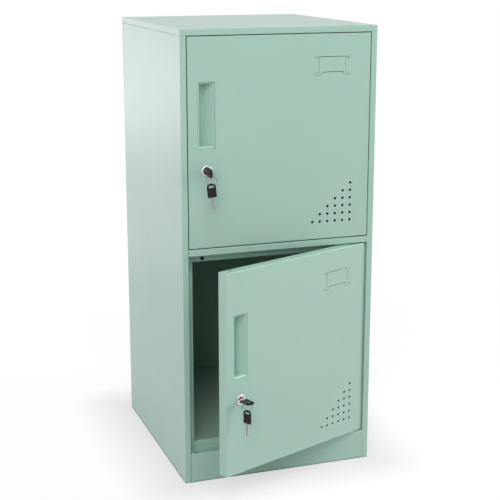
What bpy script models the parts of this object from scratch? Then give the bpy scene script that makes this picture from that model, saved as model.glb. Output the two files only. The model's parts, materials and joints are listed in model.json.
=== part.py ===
"""A two-compartment steel locker of folded sheet, with two hinged pan doors, cam locks and keys.

Metres, +Z up. The locker stands on z = 0 with its doors towards -Y, and the origin is under the
middle of the whole object, with the lower door standing open.
"""

import math

import bmesh
import bpy
from mathutils import Matrix, Vector

NAME = "locker"

# Carcass
WIDTH = 0.400
DEPTH = 0.450
HEIGHT = 0.900
SHEET = 0.0008
SEAM = 0.0003
BEND = 0.0011
STILE = 0.012
STOP_SETBACK = 0.027
STOP_FLANGE = 0.015
EDGE_FLANGE = 0.015
FLANGE_CLEARANCE = 0.002
CAP_SKIRT = 0.012
PLINTH = 0.061
PLINTH_FOOT = 0.020
RAIL_FACE = 0.013
RAIL_LIP = 0.010
RAIL_DROP = 0.017
RAIL_RISE = 0.016

# Doors
DOOR_GAP = 0.002
DOOR_DEPTH = 0.021
DOOR_FLANGE = 0.012
OPEN_ANGLE = math.radians(22)
STIFFENER_SHARE = 0.46
STIFFENER_WEB = 0.022
STIFFENER_FOOT = 0.010
STIFFENER_DEPTH = 0.012
EDGE_HOLE = 0.0075
EDGE_HOLE_INSET = 0.023
EDGE_HOLE_SETBACK = 0.014

# Hinges
HINGE_INSET = 0.011
HINGE_SETBACK = 0.0055
PIN = 0.004
PIN_PLAY = 0.0002
PIN_COLLAR = 0.007
PIN_COLLAR_HEIGHT = 0.0015
PIN_TAIL = 0.008
BUSH_WALL = 0.0009
BUSH_FLANGE = 0.0009
BUSH_TAIL = 0.003
HOLE_PLAY = 0.0003

# Buffers
BUFFER = 0.007
BUFFER_STEM = 0.003
BUFFER_BARB = 0.0048
BUFFER_BARB_LENGTH = 0.0016
BUFFER_INSET = 0.0466
BUFFER_DROP = 0.0110

# Handle cup
HANDLE_INSET = 0.023
HANDLE_HEIGHT_FROM = 0.197
HANDLE_WIDTH = 0.0264
HANDLE_TALL = 0.118
HANDLE_RIM = 0.0034
HANDLE_RIM_DEPTH = 0.0026
HANDLE_DEEP = 0.0185
HANDLE_SHALLOW = 0.0034
HANDLE_FLOOR_SHARE = 0.48

# Label pocket
LABEL_INSET = 0.080
LABEL_DROP = 0.0615
LABEL_WIDE = 0.072
LABEL_WAIST = 0.057
LABEL_TOP = 0.018
LABEL_FLANGE = 0.0045
LABEL_BOTTOM = 0.0125
LABEL_LUG = 0.0065
LABEL_LUG_WIDE = 0.0135
LABEL_GROOVE = 0.0013
LABEL_SLIT = 0.0009
LABEL_DEPTH = 0.0013
LABEL_ROUND = 0.0015
LABEL_INNER_ROUND = 0.0006
LABEL_BORDER = 0.002

# Vents
VENT = 0.0054
VENT_COLUMNS = 6
VENT_PITCH_X = 0.016
VENT_PITCH_Z = 0.015
VENT_RIGHT_INSET = 0.038
VENT_RISE = 0.035

# Lock
LOCK_INSET = 0.0363
LOCK_RISE = 0.150
LOCK_RING = 0.022
LOCK_RING_PROUD = 0.0022
LOCK_RING_ROUND = 0.0007
LOCK_BARREL = 0.018
LOCK_PLUG = 0.013
LOCK_PLAY = 0.0003
LOCK_PLUG_RECESS = 0.0006
LOCK_CAM_CLEARANCE = 0.0010
NUT_ACROSS = 0.024
NUT_THICK = 0.003
CAM_REACH = 0.036
CAM_HUB = 0.0075
CAM_TIP = 0.0055
CAM_THICK = 0.002
SCREW_SHANK = 0.0034
SCREW_HEAD = 0.008
SCREW_HEAD_HEIGHT = 0.0025
SCREW_BITE = 0.004

# Keys
KEY_PLAY = 0.0003
KEY_BLADE_THICK = 0.0014
KEY_BLADE_WIDE = 0.0050
KEY_BLADE_LONG = 0.025
KEY_TIP_SHARE = 0.45
KEY_NOTCHES = 4
KEY_NOTCH_DEPTH = 0.0011
KEY_NOTCH_HALF_SHARE = 0.3
KEY_STANDOFF = 0.006
KEY_HEAD_THICK = 0.0030
KEY_HEAD_WIDE = 0.0175
KEY_HEAD_LONG = 0.027
KEY_HEAD_ARCH = 0.0050
KEY_HEAD_CORNER = 0.0015
KEY_TANG = 0.006
KEY_HOLE_WIDE = 0.0100
KEY_HOLE_TALL = 0.0050
KEY_HOLE_ARCH = 0.0012
KEY_HOLE_CORNER = 0.0008
KEY_HOLE_DROP = 0.0060

# Key rings
RING_RADIUS = 0.0102
RING_WIRE = 0.0012
RING_PLAY = 0.0010
UPPER_RING_TURN = math.radians(-37)
UPPER_SPARE_TURN = math.radians(0)
UPPER_SPARE_LEAN = math.radians(6)
LOWER_RING_TURN = math.radians(-14)
LOWER_SPARE_TURN = math.radians(-82)
LOWER_SPARE_LEAN = math.radians(0)
LOWER_RING_ACROSS = 0.0058
LOWER_RING_IN = 0.0016

# Facets
ROUND_SIDES = 24
SMALL_SIDES = 12
RING_SIDES = 28
ARC_STEPS = 6
MERGE = 0.00001

# Derived places
RAIL_SETBACK = STOP_SETBACK - SHEET - 2 * SEAM
INNER_SETBACK = STOP_SETBACK + SHEET + SEAM
BACK_FACE = DEPTH - 2 * SHEET - SEAM
SIDE_TOP = HEIGHT - CAP_SKIRT
DOOR_WIDTH = WIDTH - 2 * (STILE + DOOR_GAP)
DOOR_HEIGHT = (SIDE_TOP - PLINTH - RAIL_FACE - 4 * DOOR_GAP) / 2
LOWER_DOOR_Z = PLINTH + DOOR_GAP
RAIL_BOTTOM = LOWER_DOOR_Z + DOOR_HEIGHT + DOOR_GAP
RAIL_TOP = RAIL_BOTTOM + RAIL_FACE
UPPER_DOOR_Z = RAIL_TOP + DOOR_GAP
HINGE_X = DOOR_WIDTH - HINGE_INSET
HANDLE_RIM_LEAN = math.atan2(HANDLE_RIM_DEPTH, HANDLE_RIM)
HANDLE_MOUTH = HANDLE_RIM + SHEET * math.sin(HANDLE_RIM_LEAN) + SEAM
LABEL_X = DOOR_WIDTH - LABEL_INSET
LABEL_Z = DOOR_HEIGHT - LABEL_DROP
CAM_SETBACK = STOP_SETBACK + SHEET + LOCK_CAM_CLEARANCE
KEY_HOLE_OUT = KEY_STANDOFF + KEY_HEAD_LONG - KEY_HOLE_DROP
LOCK_SWING = HINGE_X - LOCK_INSET
KEY_REACH = KEY_HOLE_OUT + KEY_HEAD_WIDE / 2 + HINGE_SETBACK
REACH = LOCK_SWING * math.sin(OPEN_ANGLE) + KEY_REACH * math.cos(OPEN_ANGLE) - HINGE_SETBACK
FRONT_Y = (REACH - DEPTH) / 2

# Materials: colour, roughness, metallic
MATERIALS = {
    "mint_paint": ((0.392, 0.565, 0.468), 0.45, 0.0),
    "mint_paint_inside": ((0.330, 0.490, 0.400), 0.50, 0.0),
    "zinc_steel": ((0.550, 0.550, 0.540), 0.40, 1.0),
    "chrome": ((0.750, 0.750, 0.760), 0.12, 1.0),
    "nickel_key": ((0.520, 0.500, 0.450), 0.32, 1.0),
    "black_plastic": ((0.015, 0.015, 0.016), 0.45, 0.0),
    "black_nylon": ((0.020, 0.020, 0.021), 0.50, 0.0),
    "black_rubber": ((0.020, 0.020, 0.020), 0.80, 0.0),
}

X_AXIS = Vector((1, 0, 0))
Y_AXIS = Vector((0, 1, 0))
Z_AXIS = Vector((0, 0, 1))


def clear_scene():
    for item in list(bpy.data.objects):
        bpy.data.objects.remove(item)


def make_collection(name, seen=True):
    group = bpy.data.collections.new(name)
    bpy.context.scene.collection.children.link(group)
    group.hide_render = not seen
    return group


def make_materials():
    for name, (colour, roughness, metallic) in MATERIALS.items():
        material = bpy.data.materials.new(name)
        material.use_nodes = True
        shader = material.node_tree.nodes["Principled BSDF"]
        shader.inputs["Base Color"].default_value = (*colour, 1)
        shader.inputs["Roughness"].default_value = roughness
        shader.inputs["Metallic"].default_value = metallic


def new_object(name, mesh, group="parts"):
    item = bpy.data.objects.new(name, mesh)
    GROUPS[group].objects.link(item)
    return item


def from_bmesh(name, shape, group="parts"):
    mesh = bpy.data.meshes.new(name)
    shape.to_mesh(mesh)
    shape.free()
    return new_object(name, mesh, group)


def own_material(item, kind):
    """Each sub-part carries its own copy of its kind of material, under its own name."""
    material = bpy.data.materials[kind].copy()
    material.name = f"{item.name}_{kind}"
    item.data.materials.clear()
    item.data.materials.append(material)
    return item


def hang(item, parent, place=None):
    item.parent = parent
    item.matrix_basis = place or Matrix.Identity(4)
    return item


def pivot(name, parent, place):
    return hang(new_object(name, None), parent, place)


def frame(origin, across, up):
    """A placement whose own X runs along across, its Y along up and its Z out of the two."""
    out = across.cross(up)
    turn = Matrix((across, up, out)).transposed()
    return Matrix.Translation(origin) @ turn.to_4x4()


def box_shape(low, high):
    shape = bmesh.new()
    bmesh.ops.create_cube(shape, size=1)
    size = Vector(high) - Vector(low)
    middle = (Vector(high) + Vector(low)) / 2
    bmesh.ops.scale(shape, vec=size, verts=shape.verts)
    bmesh.ops.translate(shape, vec=middle, verts=shape.verts)
    return shape


def cutter_box(name, low, high):
    return mark_cutter(from_bmesh(name, box_shape(low, high), "cutters"))


def mark_cutter(item):
    item.hide_render = True
    item.display_type = "WIRE"
    return item


def folded_strip(path, along, outside):
    """A strip of sheet folded along the path, run out by the vector along.

    The first face looks to the outside, and the others follow it.
    """
    shape = bmesh.new()
    corners = [shape.verts.new(point) for point in path]
    edges = [shape.edges.new(pair) for pair in zip(corners, corners[1:])]
    made = bmesh.ops.extrude_edge_only(shape, edges=edges)
    moved = [part for part in made["geom"] if isinstance(part, bmesh.types.BMVert)]
    bmesh.ops.translate(shape, vec=along, verts=moved)
    shape.normal_update()
    if corners[0].link_faces[0].normal.dot(outside) < 0:
        bmesh.ops.reverse_faces(shape, faces=shape.faces)
    return shape


def fold_edge(shape, middle, move):
    """Adds a flange to the free edge whose middle is nearest to the given point."""
    free = [edge for edge in shape.edges if edge.is_boundary]
    edge = min(free, key=lambda e: (sum((v.co for v in e.verts), Vector()) / 2 - middle).length)
    made = bmesh.ops.extrude_edge_only(shape, edges=[edge])
    moved = [part for part in made["geom"] if isinstance(part, bmesh.types.BMVert)]
    bmesh.ops.translate(shape, vec=move, verts=moved)


def open_box(low, high, open_side):
    """A box with the side that looks along open_side taken off."""
    shape = box_shape(low, high)
    shape.normal_update()
    lids = [face for face in shape.faces if face.normal.dot(open_side) > 0.5]
    bmesh.ops.delete(shape, geom=lids, context="FACES_ONLY")
    return shape


def sheet_metal(name, shape, kind, bend=BEND):
    """Turns an open surface, seen from outside, into sheet of even thickness with round folds."""
    item = from_bmesh(name, shape)
    if bend:
        rounding = item.modifiers.new("folds", "BEVEL")
        rounding.width = bend
        rounding.segments = 2
        rounding.limit_method = "ANGLE"
        rounding.angle_limit = math.radians(20)
    wall = item.modifiers.new("sheet", "SOLIDIFY")
    wall.thickness = SHEET
    wall.offset = -1
    wall.use_even_offset = True
    return own_material(item, kind)


def arc(middle, radius, start, end, steps):
    turns = [start + (end - start) * step / steps for step in range(steps + 1)]
    return [(middle[0] + radius * math.cos(a), middle[1] + radius * math.sin(a)) for a in turns]


def circle(radius, sides, middle=(0, 0)):
    return arc(middle, radius, 0, math.tau, sides)[:-1]


def rounded_box(half_wide, half_tall, radius, steps=3):
    points = []
    for quarter, (sx, sz) in enumerate(((1, 1), (-1, 1), (-1, -1), (1, -1))):
        middle = (sx * (half_wide - radius), sz * (half_tall - radius))
        start = quarter * math.pi / 2
        points += arc(middle, radius, start, start + math.pi / 2, steps)
    return points


def plate(name, outlines, thickness, group="parts"):
    """A flat piece with the first outline round it and the others as holes, as a closed mesh."""
    curve = bpy.data.curves.new(name, "CURVE")
    curve.dimensions = "2D"
    curve.fill_mode = "BOTH"
    curve.extrude = thickness / 2
    for outline in outlines:
        spline = curve.splines.new("POLY")
        spline.points.add(len(outline) - 1)
        for point, (x, y) in zip(spline.points, outline):
            point.co = (x, y, 0, 1)
        spline.use_cyclic_u = True
    source = new_object(name, curve, group)
    bpy.context.view_layer.update()
    mesh = bpy.data.meshes.new_from_object(source.evaluated_get(bpy.context.evaluated_depsgraph_get()))
    placed = source.matrix_world.copy()
    bpy.data.objects.remove(source)
    shape = bmesh.new()
    shape.from_mesh(mesh)
    bmesh.ops.remove_doubles(shape, verts=shape.verts, dist=MERGE)
    bmesh.ops.recalc_face_normals(shape, faces=shape.faces)
    shape.to_mesh(mesh)
    shape.free()
    item = new_object(name, mesh, group)
    item.matrix_world = placed
    return item


def turned(name, profile, sides, closed=False, group="parts"):
    """A profile of (radius, height) points, from the top down its outer side, turned about Z."""
    mesh = bpy.data.meshes.new(name)
    points = [(radius, 0, height) for radius, height in profile]
    count = len(points)
    edges = [(i, (i + 1) % count) for i in range(count if closed else count - 1)]
    mesh.from_pydata(points, edges, [])
    item = new_object(name, mesh, group)
    spin = item.modifiers.new("turned", "SCREW")
    spin.steps = sides
    spin.render_steps = sides
    spin.use_merge_vertices = True
    spin.merge_threshold = MERGE
    spin.use_smooth_shade = False
    return item


def change(item, cutter, operation):
    step = item.modifiers.new(f"{operation.lower()} {cutter.name}", "BOOLEAN")
    step.operation = operation
    step.object = cutter
    step.solver = "EXACT"


def cut(item, cutter):
    change(item, cutter, "DIFFERENCE")


def round_cutter(name, diameter, length, sides, places):
    """Rods of one size along Y, one at each place, to drill a row of holes at once."""
    shape = bmesh.new()
    for place in places:
        bmesh.ops.create_cone(
            shape,
            cap_ends=True,
            segments=sides,
            radius1=diameter / 2,
            radius2=diameter / 2,
            depth=length,
            matrix=place,
        )
    return mark_cutter(from_bmesh(name, shape, "cutters"))


def carcass_point(x, y, z):
    """A point by its distances from the left side, the front and the floor."""
    return Vector((x - WIDTH / 2, FRONT_Y + y, z))


def make_side_panel(name, side):
    """Side, stile and stop flange in one sheet; side is -1 for the left and 1 for the right."""

    def point(inward, y, z=0):
        return Vector((side * (WIDTH / 2 - inward), FRONT_Y + y, z))

    flange_from = INNER_SETBACK + FLANGE_CLEARANCE
    flange_to = BACK_FACE - FLANGE_CLEARANCE
    plan = [
        (EDGE_FLANGE, DEPTH),
        (0, DEPTH),
        (0, flange_to),
        (0, flange_from),
        (0, 0),
        (STILE, 0),
        (STILE, STOP_SETBACK),
        (STILE + STOP_FLANGE, STOP_SETBACK),
    ]
    tall = SIDE_TOP - SEAM
    shape = folded_strip([point(*corner) for corner in plan], Z_AXIS * tall, Y_AXIS)
    for z in (0, tall):
        middle = point(0, (flange_from + flange_to) / 2, z)
        fold_edge(shape, middle, X_AXIS * (-side * EDGE_FLANGE))
    return sheet_metal(name, shape, "mint_paint")


def make_back_panel():
    low = SHEET + SEAM
    tall = HEIGHT - 2 * low
    across = [low, EDGE_FLANGE + FLANGE_CLEARANCE]
    across += [WIDTH - x for x in reversed(across)]
    path = [carcass_point(x, BACK_FACE + SHEET, low) for x in across]
    shape = folded_strip(path, Z_AXIS * tall, Y_AXIS)
    for z in (low, low + tall):
        middle = carcass_point(WIDTH / 2, BACK_FACE + SHEET, z)
        fold_edge(shape, middle, -Y_AXIS * EDGE_FLANGE)
    return sheet_metal("back_panel", shape, "mint_paint_inside")


def make_top_cap():
    low = carcass_point(0, 0, SIDE_TOP)
    high = carcass_point(WIDTH, DEPTH, HEIGHT)
    return sheet_metal("top_cap", open_box(low, high, -Z_AXIS), "mint_paint")


def make_tray(name, top):
    """The floor of a compartment, with its edges turned down."""
    side = SHEET + SEAM
    low = carcass_point(side, INNER_SETBACK, top - EDGE_FLANGE)
    high = carcass_point(WIDTH - side, BACK_FACE - SEAM, top)
    return sheet_metal(name, open_box(low, high, -Z_AXIS), "mint_paint_inside")


def make_rail(name, section, outside):
    """A rail between the stiles, folded to a section of (setback, height) points."""
    left = STILE + SEAM
    path = [carcass_point(left, y, z) for y, z in section]
    along = X_AXIS * (WIDTH - 2 * left)
    return sheet_metal(name, folded_strip(path, along, outside), "mint_paint")


def make_plinth():
    section = [
        (PLINTH_FOOT, 0),
        (0, 0),
        (0, PLINTH),
        (RAIL_SETBACK, PLINTH),
        (RAIL_SETBACK, PLINTH + RAIL_RISE),
    ]
    return make_rail("plinth_panel", section, -Z_AXIS)


def make_middle_rail():
    section = [
        (RAIL_SETBACK, RAIL_BOTTOM - RAIL_DROP),
        (RAIL_SETBACK, RAIL_BOTTOM),
        (0, RAIL_BOTTOM),
        (0, RAIL_TOP),
        (RAIL_SETBACK, RAIL_TOP),
        (RAIL_SETBACK, RAIL_TOP + RAIL_RISE),
    ]
    return make_rail("middle_rail", section, -Y_AXIS)


def make_header_rail():
    lip = SHEET + SEAM
    section = [
        (RAIL_SETBACK, SIDE_TOP - RAIL_DROP),
        (RAIL_SETBACK, SIDE_TOP),
        (lip, SIDE_TOP),
        (lip, SIDE_TOP + RAIL_LIP),
    ]
    return make_rail("header_rail", section, -Y_AXIS)


def make_carcass():
    """Makes the fixed sheet pieces and drills the rails for the bushes and the buffers."""
    make_side_panel("left_side_panel", -1)
    make_side_panel("right_side_panel", 1)
    make_back_panel()
    make_top_cap()
    make_tray("bottom_floor", PLINTH + RAIL_RISE)
    make_tray("middle_shelf", RAIL_TOP + RAIL_RISE)
    rails = [make_plinth(), make_middle_rail(), make_header_rail()]
    bush_hole = PIN + 2 * (PIN_PLAY + BUSH_WALL + HOLE_PLAY)
    webs = (PLINTH, (RAIL_BOTTOM + RAIL_TOP) / 2, SIDE_TOP)
    for rail, web in zip(rails, webs):
        places = [hinge_point(x, web) for x in (HINGE_X, DOOR_WIDTH - HINGE_X)]
        deep = RAIL_FACE + BUSH_TAIL
        cut(rail, round_cutter(f"{rail.name}_hinge_drill", bush_hole, deep, SMALL_SIDES, places))
    for rail, web in ((rails[1], RAIL_BOTTOM), (rails[2], SIDE_TOP)):
        places = [buffer_place(x, web) for x in (BUFFER_INSET, WIDTH - BUFFER_INSET)]
        hole = BUFFER_STEM + 2 * HOLE_PLAY
        cut(rail, round_cutter(f"{rail.name}_buffer_drill", hole, STILE, SMALL_SIDES, places))
    for where, web, way in (
        ("lower_bottom", PLINTH, 1),
        ("lower_top", RAIL_BOTTOM, -1),
        ("upper_bottom", RAIL_TOP, 1),
        ("upper_top", SIDE_TOP, -1),
    ):
        make_bush(f"{where}_bush", web, way)
    for where, web in (("lower", RAIL_BOTTOM), ("upper", SIDE_TOP)):
        for side, x in (("left", BUFFER_INSET), ("right", WIDTH - BUFFER_INSET)):
            make_buffer(f"{where}_{side}_buffer", x, web)


def hinge_point(door_x, z):
    """An upright placement on a hinge line; door_x is counted from the doors' left edge."""
    x = STILE + DOOR_GAP + door_x
    return Matrix.Translation(carcass_point(x, HINGE_SETBACK, z))


def buffer_place(x, web):
    """The middle of a buffer's hole, with its own Z pointing to the front."""
    return frame(carcass_point(x, RAIL_SETBACK, web - BUFFER_DROP), X_AXIS, Z_AXIS)


def make_bush(name, web, way):
    """A flanged bush in a rail's web, with the flange towards the door; way is 1 when it is up."""
    bore = PIN / 2 + PIN_PLAY
    tube = bore + BUSH_WALL
    flange = tube + BUSH_FLANGE
    seat = SEAM
    profile = [
        (bore, DOOR_GAP - SEAM),
        (flange, DOOR_GAP - SEAM),
        (flange, seat),
        (tube, seat),
        (tube, -SHEET - BUSH_TAIL),
        (bore, -SHEET - BUSH_TAIL),
    ]
    item = turned(name, profile, SMALL_SIDES, closed=True)
    over = Matrix.Rotation(0 if way > 0 else math.pi, 4, "X")
    item.matrix_world = hinge_point(HINGE_X, web) @ over
    return own_material(item, "black_nylon")


def make_buffer(name, x, web):
    """A push-in buffer whose head meets the back of the shut door."""
    head = RAIL_SETBACK - DOOR_DEPTH - SEAM
    back = -SHEET - SEAM
    tail = back - BUFFER_BARB_LENGTH
    profile = [
        (0, head),
        (BUFFER / 2 - BEND, head),
        (BUFFER / 2, head - BEND),
        (BUFFER / 2, SEAM),
        (BUFFER_STEM / 2, SEAM),
        (BUFFER_STEM / 2, back),
        (BUFFER_BARB / 2, back),
        (BUFFER_STEM / 2, tail),
        (0, tail),
    ]
    item = turned(name, profile, SMALL_SIDES)
    item.matrix_world = buffer_place(x, web)
    return own_material(item, "black_rubber")


def door_point(x, y, z):
    """A point on a door by its distances from the free edge, the front and the bottom."""
    return Vector((x - HINGE_X, y - HINGE_SETBACK, z))


def facing(x, y, z):
    """A placement on the door with its own X to the right, its Y up and its Z to the front."""
    return frame(door_point(x, y, z), X_AXIS, Z_AXIS)


def pan_shape():
    """The open surface of a door: a shallow box with narrow flanges turned in at the back."""
    low = door_point(0, 0, 0)
    high = door_point(DOOR_WIDTH, DOOR_DEPTH, DOOR_HEIGHT)
    shape = box_shape(low, high)
    shape.normal_update()
    backs = [face for face in shape.faces if face.normal.y > 0.5]
    bmesh.ops.inset_region(shape, faces=backs, thickness=DOOR_FLANGE)
    bmesh.ops.delete(shape, geom=backs, context="FACES")
    return shape


def label_outline(inset, radius):
    """A panel with a straight top, drawn-in sides and a lug at each lower corner, less an inset."""
    half = LABEL_WIDE / 2 - inset
    waist = LABEL_WAIST / 2 - inset
    lug_in = LABEL_WIDE / 2 - LABEL_LUG_WIDE + inset
    right = [
        (half, LABEL_TOP - inset),
        (half, LABEL_TOP - LABEL_FLANGE + inset),
        (waist, LABEL_TOP - LABEL_FLANGE + inset),
        (waist, -LABEL_BOTTOM - inset),
        (half, -LABEL_BOTTOM - inset),
        (half, -LABEL_BOTTOM - LABEL_LUG + inset),
        (lug_in, -LABEL_BOTTOM - LABEL_LUG + inset),
        (lug_in, -LABEL_BOTTOM + inset),
    ]
    left = [(-x, z) for x, z in reversed(right)]
    return rounded_corners(right + left, radius)


def rounded_corners(points, radius):
    """The outline with each corner cut back by the radius and led round by its middle point."""
    rounded = []
    for i, corner in enumerate(points):
        here = Vector(corner)
        before = (Vector(points[i - 1]) - here).normalized() * radius
        after = (Vector(points[(i + 1) % len(points)]) - here).normalized() * radius
        middle = here + (before + after) / 4
        rounded += [tuple(here + before), tuple(middle), tuple(here + after)]
    return rounded


def vent_places():
    first = DOOR_WIDTH - VENT_RIGHT_INSET - (VENT_COLUMNS - 1) * VENT_PITCH_X
    places = []
    for column in range(VENT_COLUMNS):
        x = first + column * VENT_PITCH_X
        for row in range(column + 1):
            places.append(facing(x, SHEET, VENT_RISE + row * VENT_PITCH_Z))
    return places


def press_label(side, hinge, skin):
    """The label holder: a groove pressed round its outline, with a slit for the card above and below."""
    half_wide = LABEL_WIDE / 2 + LABEL_BORDER
    half_tall = (LABEL_TOP + LABEL_BOTTOM + LABEL_LUG) / 2 + LABEL_BORDER
    middle = LABEL_Z + (LABEL_TOP - LABEL_BOTTOM - LABEL_LUG) / 2
    boss_outline = rounded_box(half_wide, half_tall, LABEL_BORDER)
    boss = plate(f"{side}_label_boss", [boss_outline], SHEET * 2, "cutters")
    hang(mark_cutter(boss), hinge, facing(LABEL_X, LABEL_DEPTH, middle))
    change(skin, boss, "UNION")

    edges = [label_outline(0, LABEL_ROUND), label_outline(LABEL_GROOVE, LABEL_INNER_ROUND)]
    groove = plate(f"{side}_label_groove", edges, LABEL_DEPTH * 2, "cutters")
    hang(mark_cutter(groove), hinge, facing(LABEL_X, 0, LABEL_Z))
    cut(skin, groove)

    margin = (LABEL_GROOVE - LABEL_SLIT) / 2
    through = LABEL_DEPTH + 2 * SHEET
    upper_half = LABEL_WAIST / 2
    lower_half = LABEL_WIDE / 2 - LABEL_LUG_WIDE
    spans = ((upper_half, LABEL_TOP - LABEL_GROOVE + margin), (lower_half, margin - LABEL_BOTTOM))
    for place, (half, low) in zip(("top", "foot"), spans):
        slit = cutter_box(
            f"{side}_label_{place}_slit",
            door_point(LABEL_X - half, -SHEET, LABEL_Z + low),
            door_point(LABEL_X + half, through, LABEL_Z + low + LABEL_SLIT),
        )
        cut(skin, hang(slit, hinge))


def make_door_skin(side, hinge):
    name = f"{side}_door_skin"
    skin = hang(sheet_metal(name, pan_shape(), "mint_paint"), hinge)

    press_label(side, hinge, skin)

    right = HANDLE_INSET + HANDLE_WIDTH
    top = HANDLE_HEIGHT_FROM + HANDLE_TALL
    opening = cutter_box(
        f"{side}_handle_opening",
        door_point(HANDLE_INSET - HANDLE_MOUTH, -SHEET, HANDLE_HEIGHT_FROM - HANDLE_MOUTH),
        door_point(right + HANDLE_MOUTH, 2 * SHEET, top + HANDLE_MOUTH),
    )
    cut(skin, hang(opening, hinge))

    lock_hole = LOCK_BARREL + 2 * HOLE_PLAY
    drill = round_cutter(
        f"{side}_lock_drill", lock_hole, 4 * SHEET, ROUND_SIDES, [facing(LOCK_INSET, 0, LOCK_RISE)]
    )
    cut(skin, hang(drill, hinge))
    vents = round_cutter(f"{side}_vent_drill", VENT, 4 * SHEET, SMALL_SIDES, vent_places())
    cut(skin, hang(vents, hinge))

    pin_hole = PIN + 2 * HOLE_PLAY
    ends = [Matrix.Translation(door_point(HINGE_X, HINGE_SETBACK, z)) for z in (0, DOOR_HEIGHT)]
    pin_drill = round_cutter(f"{side}_pin_drill", pin_hole, 4 * SHEET, SMALL_SIDES, ends)
    cut(skin, hang(pin_drill, hinge))
    spares = [
        Matrix.Translation(door_point(EDGE_HOLE_INSET, EDGE_HOLE_SETBACK, z)) for z in (0, DOOR_HEIGHT)
    ]
    edge_drill = round_cutter(f"{side}_edge_drill", EDGE_HOLE, 4 * SHEET, SMALL_SIDES, spares)
    cut(skin, hang(edge_drill, hinge))


def make_handle_cup(side, hinge):
    """A cup with a sloping rim, let in flush: deep at the free edge, then sloping up."""
    low = door_point(HANDLE_INSET, 0, HANDLE_HEIGHT_FROM)
    high = door_point(HANDLE_INSET + HANDLE_WIDTH, HANDLE_DEEP, HANDLE_HEIGHT_FROM + HANDLE_TALL)
    shape = box_shape(low, high)
    crease = low.x + HANDLE_WIDTH * HANDLE_FLOOR_SHARE
    bmesh.ops.bisect_plane(
        shape,
        geom=shape.verts[:] + shape.edges[:] + shape.faces[:],
        plane_co=(crease, 0, 0),
        plane_no=X_AXIS,
    )
    for vert in shape.verts:
        if vert.co.y > 0 and vert.co.x > crease + SEAM:
            vert.co.y = low.y + HANDLE_SHALLOW
    shape.normal_update()
    lids = [face for face in shape.faces if face.normal.y < -0.9]
    bmesh.ops.delete(shape, geom=lids, context="FACES")
    for vert in shape.verts:
        if abs(vert.co.y - low.y) < MERGE:
            vert.co.y += HANDLE_RIM_DEPTH
    bmesh.ops.reverse_faces(shape, faces=shape.faces)
    rim = [edge for edge in shape.edges if edge.is_boundary]
    made = bmesh.ops.extrude_edge_only(shape, edges=rim)
    middle = (low + high) / 2
    for vert in made["geom"]:
        if isinstance(vert, bmesh.types.BMVert):
            if abs(vert.co.x - crease) > MERGE:
                vert.co.x += math.copysign(HANDLE_RIM, vert.co.x - middle.x)
            vert.co.z += math.copysign(HANDLE_RIM, vert.co.z - middle.z)
            vert.co.y = low.y
    return hang(sheet_metal(f"{side}_handle_cup", shape, "mint_paint"), hinge)


def make_stiffener(side, hinge):
    """A hat channel up the back of the skin."""
    middle = DOOR_WIDTH * STIFFENER_SHARE
    near = SHEET + SEAM
    half = STIFFENER_WEB / 2
    section = [
        (-half - STIFFENER_FOOT, near),
        (-half, near),
        (-half, near + STIFFENER_DEPTH),
        (half, near + STIFFENER_DEPTH),
        (half, near),
        (half + STIFFENER_FOOT, near),
    ]
    end = DOOR_FLANGE + FLANGE_CLEARANCE
    path = [door_point(middle + x, y, end) for x, y in section]
    shape = folded_strip(path, Z_AXIS * (DOOR_HEIGHT - 2 * end), -Y_AXIS)
    return hang(sheet_metal(f"{side}_door_stiffener", shape, "mint_paint_inside"), hinge)


def make_pin(name, hinge, z, way):
    """A pin through a door's edge into the bush, with its collar inside; way is 1 when it is up."""
    inner = -SHEET - SEAM
    tip = DOOR_GAP + SHEET + BUSH_TAIL
    chamfer = PIN_PLAY
    radius = PIN / 2
    profile = [
        (0, tip),
        (radius - chamfer, tip),
        (radius, tip - chamfer),
        (radius, inner),
        (PIN_COLLAR / 2, inner),
        (PIN_COLLAR / 2, inner - PIN_COLLAR_HEIGHT),
        (radius, inner - PIN_COLLAR_HEIGHT),
        (radius, inner - PIN_TAIL),
        (0, inner - PIN_TAIL),
    ]
    item = turned(name, profile, SMALL_SIDES)
    over = Matrix.Rotation(0 if way > 0 else math.pi, 4, "X")
    hang(item, hinge, Matrix.Translation((0, 0, z)) @ over)
    return own_material(item, "zinc_steel")


def make_lock_body(side, hinge):
    """The chrome housing through the skin, and the nut behind it."""
    place = facing(LOCK_INSET, 0, LOCK_RISE)
    bore = LOCK_PLUG / 2 + LOCK_PLAY
    ring = LOCK_RING / 2
    barrel = LOCK_BARREL / 2
    rear = -CAM_SETBACK + SEAM
    profile = [
        (bore, LOCK_RING_PROUD),
        (ring - LOCK_RING_ROUND, LOCK_RING_PROUD),
        (ring, LOCK_RING_PROUD - LOCK_RING_ROUND),
        (ring, SEAM),
        (barrel, SEAM),
        (barrel, rear),
        (bore, rear),
    ]
    housing = turned(f"{side}_lock_housing", profile, ROUND_SIDES, closed=True)
    own_material(hang(housing, hinge, place), "chrome")

    outlines = [circle(NUT_ACROSS / 2, 6), circle(barrel + LOCK_PLAY, ROUND_SIDES)]
    nut = plate(f"{side}_lock_nut", outlines, NUT_THICK)
    behind = Matrix.Translation((0, 0, -SHEET - SEAM - NUT_THICK / 2))
    own_material(hang(nut, hinge, place @ behind), "zinc_steel")


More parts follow.
